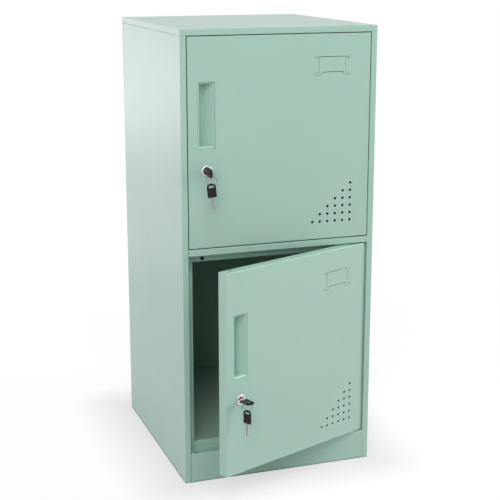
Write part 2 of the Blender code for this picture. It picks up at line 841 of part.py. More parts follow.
def make_lock_plug(side, turn):
    """The turning plug with its keyway, the cam behind it and the screw that holds the cam.

    In the frame of a lock the key's width runs along Y, and Z points out of the door.
    """
    rear = -CAM_SETBACK + SEAM
    front = LOCK_RING_PROUD - LOCK_PLUG_RECESS
    radius = LOCK_PLUG / 2
    plug = turned(
        f"{side}_lock_plug", [(0, front), (radius, front), (radius, rear), (0, rear)], ROUND_SIDES
    )
    own_material(hang(plug, turn), "chrome")
    half_thick = KEY_BLADE_THICK / 2 + KEY_PLAY
    half_wide = KEY_BLADE_WIDE / 2 + KEY_PLAY
    keyway = cutter_box(
        f"{side}_keyway",
        (-half_thick, -half_wide, KEY_STANDOFF - KEY_BLADE_LONG - KEY_PLAY),
        (half_thick, half_wide, front + LOCK_PLUG_RECESS),
    )
    cut(plug, hang(keyway, turn))
    hole = SCREW_SHANK + 2 * HOLE_PLAY
    deep = 2 * (SCREW_BITE + SEAM)
    drill = round_cutter(
        f"{side}_cam_drill", hole, deep, SMALL_SIDES, [Matrix.Translation((0, 0, rear))]
    )
    cut(plug, hang(drill, turn))

    tip = (0, CAM_TIP - CAM_REACH)
    outline = arc((0, 0), CAM_HUB, 0, math.pi, 2 * ARC_STEPS) + arc(
        tip, CAM_TIP, math.pi, math.tau, ARC_STEPS
    )
    cam = plate(f"{side}_lock_cam", [outline, circle(hole / 2, SMALL_SIDES)], CAM_THICK)
    back = CAM_SETBACK + CAM_THICK
    hang(cam, turn, Matrix.Translation((0, 0, -back + CAM_THICK / 2)))
    own_material(cam, "zinc_steel")

    shank = SCREW_SHANK / 2
    seat = -back - SEAM
    profile = [
        (0, rear + SCREW_BITE),
        (shank, rear + SCREW_BITE),
        (shank, seat),
        (SCREW_HEAD / 2, seat),
        (SCREW_HEAD / 2, seat - SCREW_HEAD_HEIGHT / 2),
        (shank, seat - SCREW_HEAD_HEIGHT),
        (0, seat - SCREW_HEAD_HEIGHT),
    ]
    screw = turned(f"{side}_cam_screw", profile, SMALL_SIDES)
    own_material(hang(screw, turn), "zinc_steel")


def arched(half_wide, low, high, rise, corner):
    """A flat-bottomed outline with an arched top and a small round at each lower corner."""
    radius = (half_wide**2 + rise**2) / (2 * rise)
    middle = (0, high - radius)
    spring = math.asin((radius - rise) / radius)
    right = arc((half_wide - corner, low + corner), corner, -math.pi / 2, 0, 2)
    left = arc((corner - half_wide, low + corner), corner, math.pi, 1.5 * math.pi, 2)
    return right + arc(middle, radius, spring, math.pi - spring, ARC_STEPS) + left


def blade_outline():
    """The blade from its tang down to the tip, with notches along one edge."""
    half = KEY_BLADE_WIDE / 2
    tang = KEY_STANDOFF + KEY_TANG - KEY_PLAY
    tip = KEY_STANDOFF - KEY_BLADE_LONG
    taper = KEY_BLADE_WIDE / 2
    narrow = half * KEY_TIP_SHARE
    outline = [(-half, tang), (-half, tip + taper), (-narrow, tip), (narrow, tip), (half, tip + taper)]
    pitch = -tip / (KEY_NOTCHES + 1)
    for notch in range(KEY_NOTCHES):
        middle = tip + taper + (notch + 1) * pitch * (1 - KEY_NOTCH_HALF_SHARE / 2)
        width = pitch * KEY_NOTCH_HALF_SHARE
        outline += [(half, middle - width), (half - KEY_NOTCH_DEPTH, middle), (half, middle + width)]
    return outline + [(half, tang)]


def make_key(name, parent, place):
    """A key in a frame whose Y is the key's width and whose Z runs from the tip to the head."""
    across = frame(Vector(), Y_AXIS, Z_AXIS)
    blade = plate(f"{name}_blade", [blade_outline()], KEY_BLADE_THICK)
    own_material(hang(blade, parent, place @ across), "nickel_key")

    base = KEY_STANDOFF
    hole_low = KEY_HOLE_OUT - KEY_HOLE_TALL / 2
    outlines = [
        arched(KEY_HEAD_WIDE / 2, base, base + KEY_HEAD_LONG, KEY_HEAD_ARCH, KEY_HEAD_CORNER),
        arched(
            KEY_HOLE_WIDE / 2, hole_low, hole_low + KEY_HOLE_TALL, KEY_HOLE_ARCH, KEY_HOLE_CORNER
        ),
    ]
    head = plate(f"{name}_head", outlines, KEY_HEAD_THICK)
    own_material(hang(head, parent, place @ across), "black_plastic")
    half_thick = KEY_BLADE_THICK / 2 + KEY_PLAY
    half_wide = KEY_BLADE_WIDE / 2 + KEY_PLAY
    pocket = cutter_box(
        f"{name}_head_pocket",
        (-half_thick, -half_wide, base - KEY_TANG),
        (half_thick, half_wide, base + KEY_TANG),
    )
    cut(head, hang(pocket, parent, place))


def make_key_set(side, turn, turned_by, grip, turns):
    """The key in the lock, its ring and the spare key, each hung on the one before.

    The grip is where the ring's wire passes over the key's head, with X to the right, Y up and Z
    out of the door, whichever way the lock is turned.
    """
    ring_turn, spare_turn, spare_lean = turns
    key = pivot(f"{side}_key_slide", turn, Matrix.Identity(4))
    make_key(f"{side}_key", key, Matrix.Identity(4))

    upright = Matrix.Rotation(-turned_by, 4, "Z")
    swing = pivot(f"{side}_ring_swing", key, upright @ Matrix.Translation(grip))
    wire = [(RING_RADIUS + r, z) for r, z in reversed(circle(RING_WIRE / 2, SMALL_SIDES // 2))]
    ring = turned(f"{side}_key_ring", wire, RING_SIDES, closed=True)
    level = Matrix.Rotation(ring_turn, 4, "Y")
    hang(ring, swing, level @ Matrix.Translation((0, -RING_RADIUS, 0)))
    own_material(ring, "zinc_steel")

    spare = pivot(f"{side}_spare_swing", swing, Matrix.Translation((0, -2 * RING_RADIUS, 0)))
    hole_top = KEY_HOLE_OUT + KEY_HOLE_TALL / 2
    drop = RING_WIRE / 2 + RING_PLAY - hole_top
    lean = Matrix.Rotation(spare_turn, 4, "Y") @ Matrix.Rotation(spare_lean, 4, "Z")
    make_key(f"{side}_spare_key", spare, lean @ frame(Vector((0, drop, 0)), Z_AXIS, X_AXIS))


def make_door(side, bottom, angle, turned_by, grip, turns):
    """One door with everything that hangs on it, open by the angle."""
    origin = carcass_point(STILE + DOOR_GAP + HINGE_X, HINGE_SETBACK, bottom)
    turn_out = Matrix.Rotation(angle, 4, "Z")
    hinge = pivot(f"{side}_door_hinge", None, Matrix.Translation(origin) @ turn_out)
    make_door_skin(side, hinge)
    make_handle_cup(side, hinge)
    make_stiffener(side, hinge)
    make_pin(f"{side}_top_hinge_pin", hinge, DOOR_HEIGHT, 1)
    make_pin(f"{side}_bottom_hinge_pin", hinge, 0, -1)
    make_lock_body(side, hinge)

    seat = facing(LOCK_INSET, 0, LOCK_RISE) @ Matrix.Rotation(turned_by, 4, "Z")
    turn = pivot(f"{side}_lock_turn", hinge, seat)
    make_lock_plug(side, turn)
    make_key_set(side, turn, turned_by, grip, turns)


def make_locker():
    make_carcass()
    wire_room = RING_PLAY + RING_WIRE / 2
    upper_grip = Vector((0, wire_room - KEY_HOLE_WIDE / 2, KEY_HOLE_OUT))
    upper_turns = (UPPER_RING_TURN, UPPER_SPARE_TURN, UPPER_SPARE_LEAN)
    make_door("upper", UPPER_DOOR_Z, 0, 0, upper_grip, upper_turns)
    over_rim = KEY_HEAD_THICK / 2 + wire_room
    lower_grip = Vector((-LOWER_RING_ACROSS, over_rim, KEY_HOLE_OUT - LOWER_RING_IN))
    lower_turns = (LOWER_RING_TURN, LOWER_SPARE_TURN, LOWER_SPARE_LEAN)
    make_door("lower", LOWER_DOOR_Z, OPEN_ANGLE, math.pi / 2, lower_grip, lower_turns)


clear_scene()
GROUPS = {"parts": make_collection(NAME), "cutters": make_collection("cutters", seen=False)}
make_materials()
make_locker()
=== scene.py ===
"""Looks for the two-compartment locker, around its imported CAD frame. Metres, +Z up."""

import json
import math

import bmesh
import bpy
from mathutils import Matrix, Vector

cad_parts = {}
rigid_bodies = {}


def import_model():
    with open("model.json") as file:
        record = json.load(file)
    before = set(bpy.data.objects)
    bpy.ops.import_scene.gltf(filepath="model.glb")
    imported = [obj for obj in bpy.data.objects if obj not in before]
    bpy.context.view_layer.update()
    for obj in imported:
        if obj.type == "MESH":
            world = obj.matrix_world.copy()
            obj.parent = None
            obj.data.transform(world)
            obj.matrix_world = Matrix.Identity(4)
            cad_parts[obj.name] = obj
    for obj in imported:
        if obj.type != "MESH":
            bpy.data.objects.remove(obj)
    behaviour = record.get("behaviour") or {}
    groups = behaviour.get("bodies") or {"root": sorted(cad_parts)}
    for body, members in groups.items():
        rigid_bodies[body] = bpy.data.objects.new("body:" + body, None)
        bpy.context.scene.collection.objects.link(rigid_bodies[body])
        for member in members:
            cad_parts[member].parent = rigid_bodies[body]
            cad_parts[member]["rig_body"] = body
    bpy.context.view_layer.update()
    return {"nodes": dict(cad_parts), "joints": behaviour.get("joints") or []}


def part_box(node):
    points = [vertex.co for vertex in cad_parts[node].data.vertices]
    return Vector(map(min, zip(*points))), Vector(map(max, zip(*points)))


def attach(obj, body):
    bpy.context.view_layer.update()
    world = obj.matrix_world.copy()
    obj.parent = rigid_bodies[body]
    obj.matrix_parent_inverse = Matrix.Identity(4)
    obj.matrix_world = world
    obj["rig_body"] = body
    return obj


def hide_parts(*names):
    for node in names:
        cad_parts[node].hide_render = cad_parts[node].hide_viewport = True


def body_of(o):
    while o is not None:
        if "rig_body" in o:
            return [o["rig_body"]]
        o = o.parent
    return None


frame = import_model()

SIDES = ("upper", "lower")
CARCASS_LOW = Vector((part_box("left_side_panel")[0].x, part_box("left_side_panel")[0].y, 0))
CARCASS_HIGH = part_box("top_cap")[1]


# Shader helpers

EDGE_BEND = (0.995, 0.90)
DRIFT_BAND = (0.3, 0.7)
SPECK_BAND = (0.45, 0.75)


def new_material(name):
    """A material with its node tree and its main shader."""
    material = bpy.data.materials.new(name)
    material.use_nodes = True
    tree = material.node_tree
    return material, tree, tree.nodes["Principled BSDF"]


def node(tree, kind, **values):
    """A node with its properties and its unlinked inputs set by name."""
    made = tree.nodes.new(kind)
    for name, value in values.items():
        if name in made.inputs:
            made.inputs[name].default_value = value
        else:
            setattr(made, name, value)
    return made


def link(tree, source, target):
    """Joins two sockets."""
    tree.links.new(source, target)


def noise(tree, scale, detail=3.0, roughness=0.5, stretch=(1, 1, 1), seed=0.0):
    """Noise in object space: features per metre, stretched by a factor on each axis."""
    place = node(tree, "ShaderNodeTexCoord")
    mapping = node(tree, "ShaderNodeMapping")
    mapping.inputs["Scale"].default_value = stretch
    mapping.inputs["Location"].default_value = (seed, seed, seed)
    link(tree, place.outputs["Object"], mapping.inputs["Vector"])
    made = node(tree, "ShaderNodeTexNoise", Scale=scale, Detail=detail, Roughness=roughness)
    link(tree, mapping.outputs["Vector"], made.inputs["Vector"])
    return made.outputs["Fac"]


def spread(tree, source, low, high, start=0.0, end=1.0):
    """Maps a factor from start..end to low..high."""
    made = node(tree, "ShaderNodeMapRange")
    made.inputs["From Min"].default_value = start
    made.inputs["From Max"].default_value = end
    made.inputs["To Min"].default_value = low
    made.inputs["To Max"].default_value = high
    link(tree, source, made.inputs["Value"])
    return made.outputs["Result"]


def blend_colours(tree, factor, first, second):
    """A blend by the factor; each end is a colour or a socket."""
    made = node(tree, "ShaderNodeMix", data_type="RGBA")
    link(tree, factor, made.inputs[0])
    for socket, value in ((made.inputs[6], first), (made.inputs[7], second)):
        if isinstance(value, tuple):
            socket.default_value = (*value, 1)
        else:
            link(tree, value, socket)
    return made.outputs[2]


def scaled(colour, factor):
    """The colour, made darker or paler by a factor."""
    return tuple(min(1.0, channel * factor) for channel in colour)


def add_bumps(tree, shader, layers):
    """Chains bump nodes: each layer is a height, its depth in metres and its strength."""
    normal = None
    for height, depth, strength in layers:
        bump = node(tree, "ShaderNodeBump", Strength=strength, Distance=depth)
        link(tree, height, bump.inputs["Height"])
        if normal:
            link(tree, normal, bump.inputs["Normal"])
        normal = bump.outputs["Normal"]
    link(tree, normal, shader.inputs["Normal"])


def edge_mask(tree, radius):
    """One where the surface lies within the radius of an edge or a fold, zero on the flat."""
    rounded = node(tree, "ShaderNodeBevel", samples=4, Radius=radius)
    shape = node(tree, "ShaderNodeNewGeometry")
    dot = node(tree, "ShaderNodeVectorMath", operation="DOT_PRODUCT")
    link(tree, rounded.outputs["Normal"], dot.inputs[0])
    link(tree, shape.outputs["Normal"], dot.inputs[1])
    return spread(tree, dot.outputs["Value"], 0, 1, *EDGE_BEND)


# Materials

MINT = (0.378, 0.576, 0.485)
# The inside's mint is the outside's mint made darker: painted shade for the dim inside.
MINT_SHADED_INSIDE = (0.335, 0.500, 0.410)
ZINC = (0.56, 0.56, 0.55)
CHROME = (0.66, 0.66, 0.68)
RING_STEEL = (0.17, 0.17, 0.18)
KEY_NICKEL = (0.36, 0.345, 0.315)
PLASTIC_BLACK = (0.009, 0.009, 0.010)
NYLON_BLACK = (0.016, 0.016, 0.017)
RUBBER_BLACK = (0.014, 0.014, 0.014)

PAINT_CLOUD_SCALE = 5.0
PAINT_SHEEN_SCALE = 30.0
PAINT_GRAIN_SCALE = 1400.0
PAINT_GRAIN_DEPTH = 0.00002
PAINT_PEEL_SCALE = 520.0
PAINT_PEEL_DEPTH = 0.00006
PAINT_WEAR = 0.0009
BRUSH_SCALE = 900.0
BRUSH_DEPTH = 0.00001
TARNISH_SCALE = 120.0
METAL_WEAR = 0.0004
HANDLING_SCALE = 90.0
PLASTIC_WEAR = 0.0005


def two_shades(tree, cloud, colour, dark, pale):
    """The colour, drifting between a darker and a paler share of it."""
    drift = spread(tree, cloud, 0, 1, *DRIFT_BAND)
    return blend_colours(tree, drift, scaled(colour, dark), scaled(colour, pale))


def worn_edges(tree, base, radius, share, tint):
    """The base colour, blended into the tint by a share along edges and folds."""
    mask = spread(tree, edge_mask(tree, radius), 0, share)
    return blend_colours(tree, mask, base, tint)


def powder_coat(name, colour, gloss, seed):
    """Satin powder coat: orange peel, a faint cloudiness and thinner paint along the folds."""
    material, tree, shader = new_material(name)
    cloud = noise(tree, PAINT_CLOUD_SCALE, detail=2.0, seed=seed)
    grain = noise(tree, PAINT_GRAIN_SCALE, detail=2.0, roughness=0.6, seed=seed)
    base = two_shades(tree, cloud, colour, dark=0.975, pale=1.02)
    specks = spread(tree, grain, 0, 0.35, *SPECK_BAND)
    speckled = blend_colours(tree, specks, base, scaled(colour, 1.12))
    worn = worn_edges(tree, speckled, PAINT_WEAR, share=0.35, tint=scaled(colour, 1.25))
    link(tree, worn, shader.inputs["Base Color"])
    sheen = noise(tree, PAINT_SHEEN_SCALE, roughness=0.6, seed=seed)
    link(tree, spread(tree, sheen, gloss - 0.04, gloss + 0.05), shader.inputs["Roughness"])
    peel = noise(tree, PAINT_PEEL_SCALE, detail=1.5, roughness=0.45, seed=seed)
    add_bumps(tree, shader, [(peel, PAINT_PEEL_DEPTH, 0.35), (grain, PAINT_GRAIN_DEPTH, 0.3)])
    return material


def plated(name, colour, rough, brush, seed, worn=1.1):
    """Plated metal with a fine brushed grain along one axis and brighter edges."""
    material, tree, shader = new_material(name)
    lines = noise(tree, BRUSH_SCALE, roughness=0.6, stretch=brush, seed=seed)
    cloud = noise(tree, TARNISH_SCALE, seed=seed)
    base = two_shades(tree, cloud, colour, dark=0.86, pale=1.05)
    bright = worn_edges(tree, base, METAL_WEAR, share=1, tint=scaled(colour, worn))
    link(tree, bright, shader.inputs["Base Color"])
    brushed = spread(tree, lines, rough - 0.05, rough + 0.10, *DRIFT_BAND)
    link(tree, brushed, shader.inputs["Roughness"])
    shader.inputs["Metallic"].default_value = 1.0
    add_bumps(tree, shader, [(lines, BRUSH_DEPTH, 0.3)])
    return material


def moulded(name, colour, rough, grain_scale, grain_depth, seed, worn, shine):
    """Moulded plastic or rubber with a fine grain, paler where it has been handled."""
    material, tree, shader = new_material(name)
    shader.inputs["Specular IOR Level"].default_value = shine
    grain = noise(tree, grain_scale, roughness=0.6, seed=seed)
    cloud = noise(tree, HANDLING_SCALE, detail=2.0, seed=seed)
    base = two_shades(tree, cloud, colour, dark=0.85, pale=1.15)
    handled = worn_edges(tree, base, PLASTIC_WEAR, share=0.6, tint=scaled(colour, worn))
    link(tree, handled, shader.inputs["Base Color"])
    matt = spread(tree, cloud, rough - 0.06, rough + 0.06, *DRIFT_BAND)
    link(tree, matt, shader.inputs["Roughness"])
    add_bumps(tree, shader, [(grain, grain_depth, 0.4)])
    return material


def make_materials():
    """One finish for each kind of material that the CAD names, and one for the split rings."""
    even = (1, 1, 1)
    return {
        "mint_paint": powder_coat("mint_powder_coat", MINT, gloss=0.34, seed=1.0),
        # The inside coat's darker mint is painted shade.
        "mint_paint_inside": powder_coat("inside_powder_coat_painted_shade", MINT_SHADED_INSIDE, gloss=0.50, seed=7.0),
        "zinc_steel": plated("zinc_plate", ZINC, rough=0.34, brush=(1, 1, 0.15), seed=2.0),
        "chrome": plated("polished_chrome", CHROME, rough=0.12, brush=even, seed=3.0, worn=1.25),
        "ring_steel": plated(
            "split_ring_steel", RING_STEEL, rough=0.24, brush=even, seed=9.0, worn=1.6
        ),
        "nickel_key": plated(
            "nickel_key_blank", KEY_NICKEL, rough=0.26, brush=(1, 1, 0.08), seed=4.0, worn=1.4
        ),
        "black_plastic": moulded(
            "moulded_black_plastic", PLASTIC_BLACK, rough=0.46, grain_scale=1800.0,
            grain_depth=0.00002, seed=5.0, worn=2.0, shine=0.22
        ),
        "black_nylon": moulded(
            "black_nylon", NYLON_BLACK, rough=0.50, grain_scale=1500.0,
            grain_depth=0.00002, seed=6.0, worn=1.5, shine=0.30
        ),
        "black_rubber": moulded(
            "black_rubber", RUBBER_BLACK, rough=0.78, grain_scale=1200.0,
            grain_depth=0.00004, seed=8.0, worn=1.8, shine=0.30
        ),
    }


def dress_nodes(materials):
    """Each CAD node takes the looks of the kind that its own material is named after."""
    kinds = sorted(materials, key=len, reverse=True)
    for item in frame["nodes"].values():
        for slot in item.material_slots:
            kind = next(k for k in kinds if slot.material.name.split(".")[0].endswith(k))
            slot.material = materials[kind]


# Mesh helpers

MERGE = 0.00001
SMOOTH_UP_TO = math.radians(32)


def smooth_mesh(name, shape):
    """Turns a bmesh into a mesh that is smooth except across its sharp edges."""
    bmesh.ops.recalc_face_normals(shape, faces=shape.faces)
    mesh = bpy.data.meshes.new(name)
    shape.to_mesh(mesh)
    shape.free()
    mesh.polygons.foreach_set("use_smooth", [True] * len(mesh.polygons))
    mesh.set_sharp_from_angle(angle=SMOOTH_UP_TO)
    return mesh


def lathe(name, profile, sides, closed=False):
    """Turns (radius, height) points about Z; an open profile starts and ends on the axis."""
    shape = bmesh.new()
    rings = []
    for radius, height in profile:
        turns = [math.tau * i / sides for i in range(sides)] if radius else [0]
        points = [(radius * math.cos(a), radius * math.sin(a), height) for a in turns]
        rings.append([shape.verts.new(point) for point in points])
    pairs = list(zip(rings, rings[1:]))
    if closed:
        pairs.append((rings[-1], rings[0]))
    for first, second in pairs:
        for i in range(sides):
            corners = [first[i % len(first)], first[(i + 1) % sides % len(first)]]
            corners += [second[(i + 1) % sides % len(second)], second[i % len(second)]]
            shape.faces.new(list(dict.fromkeys(corners)))
    return smooth_mesh(name, shape)


def arc(middle, radius, start, end, steps):
    """Points on a circle from one angle to another."""
    turns = [start + (end - start) * i / steps for i in range(steps + 1)]
    return [(middle[0] + radius * math.cos(a), middle[1] + radius * math.sin(a)) for a in turns]


def as_mesh(item):
    """A mesh of the object as its modifiers and curve settings make it."""
    bpy.context.view_layer.update()
    return bpy.data.meshes.new_from_object(
        item.evaluated_get(bpy.context.evaluated_depsgraph_get())
    )


def plate(name, outline, thickness, edge):
    """A flat piece with rounded edges inside the outline."""
    curve = bpy.data.curves.new(name, "CURVE")
    curve.dimensions = "2D"
    curve.fill_mode = "BOTH"
    curve.extrude = thickness / 2 - edge
    curve.bevel_depth = edge
    curve.bevel_resolution = 3
    curve.offset = -edge
    spline = curve.splines.new("POLY")
    spline.points.add(len(outline) - 1)
    for point, (x, y) in zip(spline.points, outline):
        point.co = (x, y, 0, 1)
    spline.use_cyclic_u = True
    source = bpy.data.objects.new(name, curve)
    bpy.context.scene.collection.objects.link(source)
    made = as_mesh(source)
    bpy.data.objects.remove(source)
    shape = bmesh.new()
    shape.from_mesh(made)
    bmesh.ops.remove_doubles(shape, verts=shape.verts, dist=MERGE)
    return smooth_mesh(name, shape)


def box_mesh(name, low, high):
    """A box between two corners."""
    shape = bmesh.new()
    bmesh.ops.create_cube(shape, size=1)
    size = Vector(high) - Vector(low)
    middle = (Vector(high) + Vector(low)) / 2
    for vert in shape.verts:
        vert.co = Vector(a * b for a, b in zip(vert.co, size)) + middle
    return smooth_mesh(name, shape)


def carve(mesh, low, high):
    """The mesh less a box, both in the mesh's own frame."""
    body = bpy.data.objects.new(mesh.name, mesh)
    tool = bpy.data.objects.new(mesh.name + "_tool", box_mesh(mesh.name + "_tool", low, high))
    for item in (body, tool):
        bpy.context.scene.collection.objects.link(item)
    cut = body.modifiers.new("cut", "BOOLEAN")
    cut.operation = "DIFFERENCE"
    cut.solver = "EXACT"
    cut.object = tool
    made = as_mesh(body)
    for item in (body, tool):
        bpy.data.objects.remove(item)
    shape = bmesh.new()
    shape.from_mesh(made)
    return smooth_mesh(mesh.name, shape)


def stand_in(name, mesh, place, node_name, material):
    """A finer piece that takes the place of a CAD node, on the same body and in the same spot."""
    piece = bpy.data.objects.new(name, mesh)
    bpy.context.scene.collection.objects.link(piece)
    piece.matrix_world = place
    mesh.materials.clear()
    mesh.materials.append(material)
    bpy.context.view_layer.update()
    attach(piece, body_of(frame["nodes"][node_name])[0])
    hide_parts(node_name)
    return piece


# Locks and keys

SEAM = 0.0003
LOCK_SIDES = 72
LOCK_LIP = 0.0005
LOCK_BARREL = 0.018
LOCK_THREAD_FROM = 0.001
LOCK_THREAD_PITCH = 0.0015
LOCK_THREAD_DEPTH = 0.0006
LOCK_PLUG = 0.013
LOCK_PLUG_RECESS = 0.0006
LOCK_PLUG_DISH = 0.00025
LOCK_DISH_SHARE = 0.72
LOCK_DISH_RIM_SHARE = 0.76
KEY_THICK = 0.0030
KEY_WIDE = 0.0175
KEY_LONG = 0.027
KEY_ARCH = 0.0050
KEY_CORNER = 0.0015
KEY_STANDOFF = 0.006
KEY_TANG = 0.006
KEY_HOLE_WIDE = 0.0100
KEY_HOLE_TALL = 0.0050
KEY_HOLE_ARCH = 0.0012
KEY_HOLE_CORNER = 0.0008
KEY_HOLE_DROP = 0.0060
KEY_HOLE_OUT = KEY_STANDOFF + KEY_LONG - KEY_HOLE_DROP
KEY_HEAD_STEPS = 18
KEY_HOLE_STEPS = 12
KEY_HEAD_EDGE = 0.00045
KEY_HEAD_RIM = 0.0007
KEY_PANEL_DEPTH = 0.0002
BLADE_THICK = 0.0014
BLADE_WIDE = 0.0050
BLADE_LONG = 0.025
BLADE_EDGE = 0.00015
BLADE_TIP_SHARE = 0.45
BLADE_NOTCH_DEPTHS = (0.0010, 0.0006, 0.0013, 0.0008)
BLADE_NOTCH_START_SHARE = 0.9
BLADE_NOTCH_HALF_SHARE = 0.32
BLADE_NOTCH_FLOOR_SHARE = 0.2
BLADE_GROOVE_DEPTH = 0.00035
BLADE_GROOVE_SHARES = (0.55, 0.05)
BLADE_GROOVE_END = 0.0015
RING_RADIUS = 0.0102
RING_CAD_WIRE = 0.0012
RING_PLAY = 0.0010
RING_WIRE_DEEP = 0.00094
RING_WIRE_THIN = 0.00046
RING_COIL_GAP = 0.00004
RING_STEPS = 72
RING_STEP_SHARE = 0.04
RING_ENDS_AT = math.radians(200)
WIRE_SIDES = 16
WIRE_SQUARENESS = 0.6
RING_TURN = {"upper": math.radians(-37), "lower": math.radians(-14)}
SPARE_TURN = {"upper": 0.0, "lower": math.radians(-82)}
SPARE_LEAN = {"upper": math.radians(6), "lower": 0.0}


def joint(name):
    """The frame's record of a joint."""
    return next(j for j in frame["joints"] if j["name"] == name)


def door_frame(origin, out):
    """X to the right along the door, Y up and Z out of it."""
    up = Vector((0, 0, 1))
    out = Vector(out).normalized()
    turn = Matrix((up.cross(out), up, out)).transposed().to_4x4()
    return Matrix.Translation(origin) @ turn


def lock_frame(side):
    """The door's frame at the lock."""
    turn = joint(f"{side}_lock_turn")
    return door_frame(turn["pos_m"], -Vector(turn["axis"]))


def turned_frame(side):
    """The lock's frame turned with its plug: the key's width runs along Y."""
    low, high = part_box(f"{side}_key_head")
    upright = high.z - low.z > KEY_WIDE / 2
    return lock_frame(side) @ Matrix.Rotation(0 if upright else math.pi / 2, 4, "Z")


def lock_depths():
    """How far the ring stands out of the door, its radius, and how deep the barrel goes."""
    low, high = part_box("upper_lock_housing")
    front = joint("upper_lock_turn")["pos_m"][1]
    return front - low.y, (high.x - low.x) / 2, high.y - front


def make_lock_ring(side, materials):
    """The chrome ring on the door, with its threaded barrel behind."""
    proud, ring, deep = lock_depths()
    bore = LOCK_PLUG / 2 + SEAM
    barrel = LOCK_BARREL / 2
    roll = proud - SEAM - LOCK_LIP / 2
    profile = [(bore, proud - LOCK_LIP), (bore + LOCK_LIP, proud)]
    profile += arc((ring - roll, proud - roll), roll, math.pi / 2, 0, 6)
    profile += [(ring, SEAM), (barrel, SEAM)]
    threads = int((deep - LOCK_THREAD_FROM - LOCK_LIP) / LOCK_THREAD_PITCH)
    for i in range(threads):
        height = -LOCK_THREAD_FROM - i * LOCK_THREAD_PITCH
        profile.append((barrel, height))
        profile.append((barrel - LOCK_THREAD_DEPTH, height - LOCK_THREAD_PITCH / 2))
    profile.append((barrel, -LOCK_THREAD_FROM - threads * LOCK_THREAD_PITCH))
    profile += [(barrel - LOCK_LIP, -deep), (bore, -deep)]
    mesh = lathe(f"{side}_lock_ring", profile, LOCK_SIDES, closed=True)
    chrome = materials["chrome"]
    stand_in(f"{side}_lock_ring", mesh, lock_frame(side), f"{side}_lock_housing", chrome)


def make_lock_face(side, materials):
    """The plug with its dished face and the slot that the key's blade goes through."""
    proud, _, deep = lock_depths()
    front = proud - LOCK_PLUG_RECESS
    radius = LOCK_PLUG / 2
    dish = LOCK_PLUG_DISH
    profile = [
        (0, front - dish),
        (radius * LOCK_DISH_SHARE, front - dish),
        (radius * LOCK_DISH_RIM_SHARE, front),
        (radius - dish, front),
        (radius, front - dish),
        (radius, -deep),
        (0, -deep),
    ]
    mesh = lathe(f"{side}_lock_face", profile, LOCK_SIDES)
    half_thick = BLADE_THICK / 2 + SEAM
    half_wide = BLADE_WIDE / 2 + SEAM
    tip = KEY_STANDOFF - BLADE_LONG - SEAM
    mesh = carve(mesh, (-half_thick, -half_wide, tip), (half_thick, half_wide, proud))
    chrome = materials["chrome"]
    stand_in(f"{side}_lock_face", mesh, turned_frame(side), f"{side}_lock_plug", chrome)


def arched(half_wide, low, high, radius, corner, steps):
    """A flat-bottomed outline with an arched top and a small round at each lower corner."""
    spring = math.acos(half_wide / radius)
    right = arc((half_wide - corner, low + corner), corner, -math.pi / 2, 0, steps // 3)
    left = arc((corner - half_wide, low + corner), corner, math.pi, 1.5 * math.pi, steps // 3)
    return right + arc((0, high - radius), radius, spring, math.pi - spring, steps) + left


def arch_radius(half_wide, rise):
    """The radius of an arch from half its width and its rise."""
    return (half_wide**2 + rise**2) / (2 * rise)


def key_head_outline(inset):
    """The head's outline, moved inwards."""
    half_wide = KEY_WIDE / 2 - inset
    low = KEY_STANDOFF + inset
    high = KEY_STANDOFF + KEY_LONG - inset
    radius = arch_radius(KEY_WIDE / 2, KEY_ARCH) - inset
    return arched(half_wide, low, high, radius, KEY_CORNER - inset, KEY_HEAD_STEPS)


def key_hole_outline(inset):
    """The outline of the head's hole, moved outwards."""
    half_wide = KEY_HOLE_WIDE / 2 + inset
    low = KEY_HOLE_OUT - KEY_HOLE_TALL / 2 - inset
    high = KEY_HOLE_OUT + KEY_HOLE_TALL / 2 + inset
    radius = arch_radius(KEY_HOLE_WIDE / 2, KEY_HOLE_ARCH) + inset
    return arched(half_wide, low, high, radius, KEY_HOLE_CORNER + inset, KEY_HOLE_STEPS)


def key_head_mesh(name):
    """The moulded head: rounded edges and a shallow panel on each face inside a raised rim."""
    face = KEY_THICK / 2
    edge = KEY_HEAD_EDGE
    panel = edge + KEY_HEAD_RIM
    profile = arc((edge, face - edge), edge, math.pi, math.pi / 2, 5)
    profile += [(panel, face), (panel + KEY_PANEL_DEPTH, face - KEY_PANEL_DEPTH)]
    profile = [(inset, -height) for inset, height in reversed(profile)] + profile
    shape = bmesh.new()
    rims = []
    for outline in (key_head_outline, key_hole_outline):
        rings = []
        for inset, height in profile:
            rings.append([shape.verts.new((x, y, height)) for x, y in outline(inset)])
        for first, second in zip(rings, rings[1:]):
            for i in range(len(first)):
                shape.faces.new((first[i - 1], first[i], second[i], second[i - 1]))
        rims.append((rings[0], rings[-1]))
    for rings in zip(*rims):
        pairs = [(ring[i - 1], ring[i]) for ring in rings for i in range(len(ring))]
        border = [shape.edges.get(pair) for pair in pairs]
        bmesh.ops.triangle_fill(shape, use_beauty=True, edges=border)
    mesh = smooth_mesh(name, shape)
    half_wide = BLADE_WIDE / 2 + SEAM
    half_thick = BLADE_THICK / 2 + SEAM
    low = (-half_wide, KEY_STANDOFF - KEY_TANG, -half_thick)
    high = (half_wide, KEY_STANDOFF + KEY_TANG, half_thick)
    return carve(mesh, low, high)


